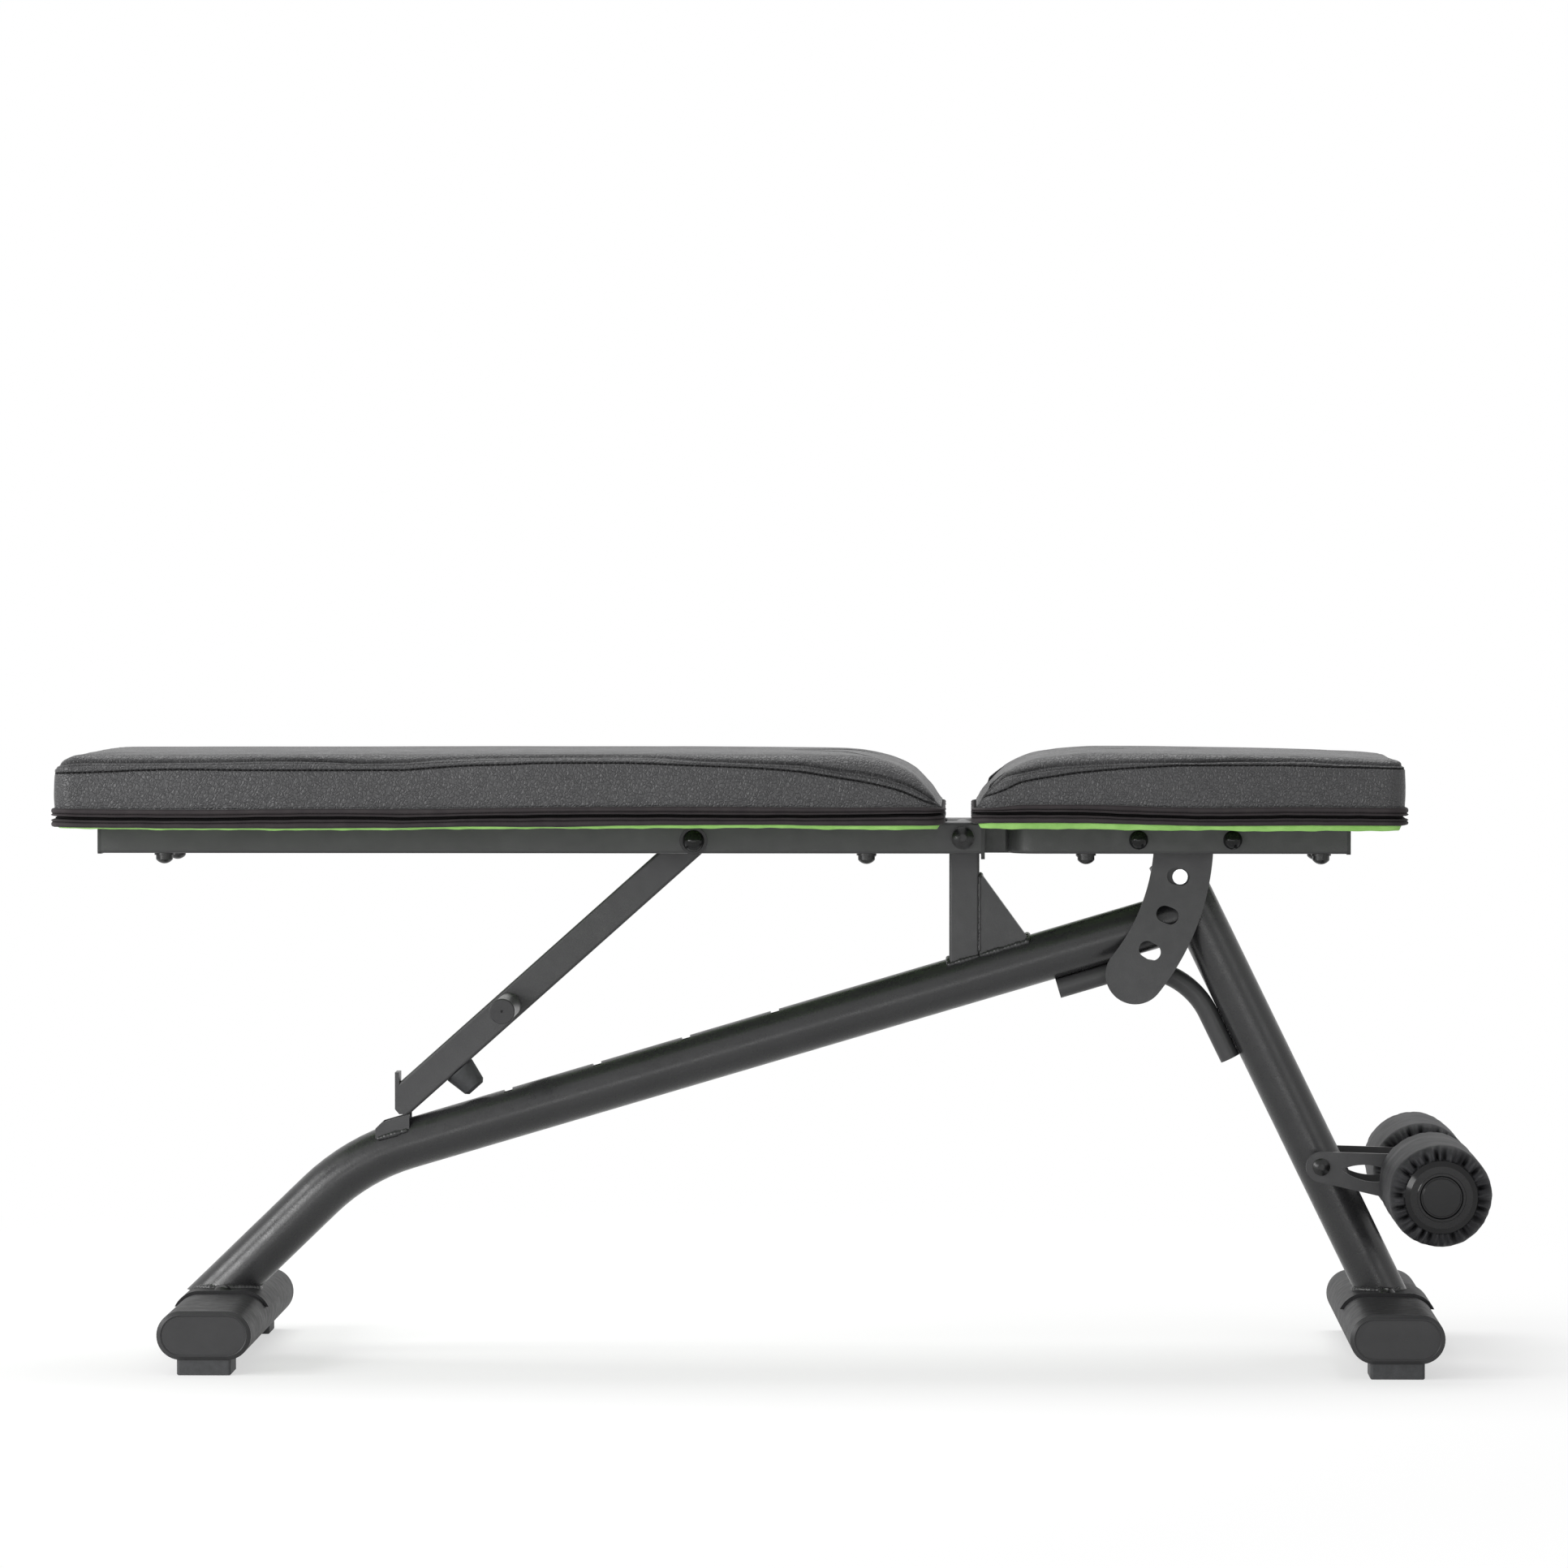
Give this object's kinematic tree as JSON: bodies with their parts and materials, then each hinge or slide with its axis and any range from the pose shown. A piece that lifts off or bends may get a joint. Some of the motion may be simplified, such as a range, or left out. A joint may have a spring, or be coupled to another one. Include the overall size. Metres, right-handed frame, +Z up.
{
  "type": "adjustable weight bench",
  "caption": "Low bench with a long tilting backrest, a tilting seat, a prop strut with slots in a bent tube, and padded foot rollers.",
  "frame": {"origin": "on the floor, under the middle of the whole bench, on its middle plane", "axes": "+X towards the foot rollers, +Y across the bench to the far side, +Z up"},
  "size_m": [1.117, 0.4106, 0.482],
  "materials": {
    "powder_coat": "fine-textured satin black powder coat",
    "black_fasteners": "black oxide, semi-gloss",
    "zinc_steel": "bright zinc plating",
    "black_plastic": "moulded black plastic, fine grain",
    "black_rubber": "matt black rubber",
    "vinyl": "charcoal vinyl with a fine leather grain, black stitched seam",
    "zip_tape": "black woven zip tape",
    "green_cover": "lime-green loose woven cover",
    "plywood": "bare plywood",
    "foam_cover": "black vinyl gathered over foam"
  },
  "bodies": {
    "frame": {"main_tube": "powder_coat", "front_leg": "powder_coat", "leg_top_plug": "black_plastic", "leg_brace": "powder_coat", "seat_post": "powder_coat", "post_gusset": "powder_coat", "pivot_sleeve": "powder_coat", "pivot_bolt": "black_fasteners", "lock_nuts": "black_fasteners", "pivot_washers": "black_fasteners", "strut_catch": "powder_coat", "pin_housing": "powder_coat", "rear_foot_bar": "powder_coat", "front_foot_bar": "powder_coat", "rear_saddle": "powder_coat", "front_saddle": "powder_coat", "saddle_bolts": "black_fasteners", "rear_end_caps": "black_plastic", "front_end_caps": "black_plastic", "rear_rubber_feet": "black_rubber", "front_rubber_feet": "black_rubber", "roller_links": "powder_coat", "roller_link_spacers": "powder_coat", "roller_link_bolt": "black_fasteners", "roller_bar": "powder_coat", "roller_end_caps": "black_plastic"},
    "backrest": {"back_tubes": "powder_coat", "back_tube_plugs": "black_plastic", "back_cross_tubes": "powder_coat", "back_board": "plywood", "back_under_cover": "green_cover", "back_zip_band": "zip_tape", "back_pad": "vinyl", "back_pad_screws": "black_fasteners", "strut_bolt": "black_fasteners", "strut_bolt_caps": "black_plastic", "strut_spacers": "powder_coat"},
    "strut": {"strut_tube": "powder_coat", "strut_end_plate": "powder_coat", "strut_sleeve": "powder_coat", "strut_handle": "powder_coat", "strut_handle_caps": "black_plastic", "strut_bumper": "black_rubber"},
    "seat": {"seat_tubes": "powder_coat", "seat_tube_plugs": "black_plastic", "seat_cross_tube": "powder_coat", "adjust_plate": "powder_coat", "plate_bolts": "black_fasteners", "plate_bolt_caps": "black_plastic", "plate_spacers": "powder_coat", "seat_board": "plywood", "seat_under_cover": "green_cover", "seat_zip_band": "zip_tape", "seat_pad": "vinyl", "seat_pad_screws": "black_fasteners"},
    "pin": {"pull_pin": "zinc_steel", "pin_knob": "black_plastic", "pin_spring": "zinc_steel"},
    "near_roller": {"roller_foam_near": "foam_cover"},
    "far_roller": {"roller_foam_far": "foam_cover"}
  },
  "joints": [
    {"name": "backrest_tilt", "type": "hinge", "parent": "frame", "child": "backrest", "pos_m": [0.1505, 0, 0.4125], "axis": [0, 1, 0], "range_deg": [0, 56]},
    {"name": "strut_swing", "type": "hinge", "parent": "backrest", "child": "strut", "pos_m": [-0.0617, 0, 0.4101], "axis": [0, 1, 0], "range_deg": [-94.7, 0]},
    {"name": "seat_tilt", "type": "hinge", "parent": "frame", "child": "seat", "pos_m": [0.1505, 0, 0.4125], "axis": [0, -1, 0], "range_deg": [0, 20.9]},
    {"name": "pin_slide", "type": "slide", "parent": "frame", "child": "pin", "axis": [0, -1, 0], "range_m": [0, 0.008], "deforming": ["pin_spring"]},
    {"name": "near_roller_spin", "type": "hinge", "parent": "frame", "child": "near_roller", "pos_m": [0.5185, 0, 0.141], "axis": [0, 1, 0], "continuous": true},
    {"name": "far_roller_spin", "type": "hinge", "parent": "frame", "child": "far_roller", "pos_m": [0.5185, 0, 0.141], "axis": [0, 1, 0], "continuous": true}
  ],
  "couplings": [
    {"joint": "strut_swing", "follows": "backrest_tilt", "ratio": -1.69}
  ]
}
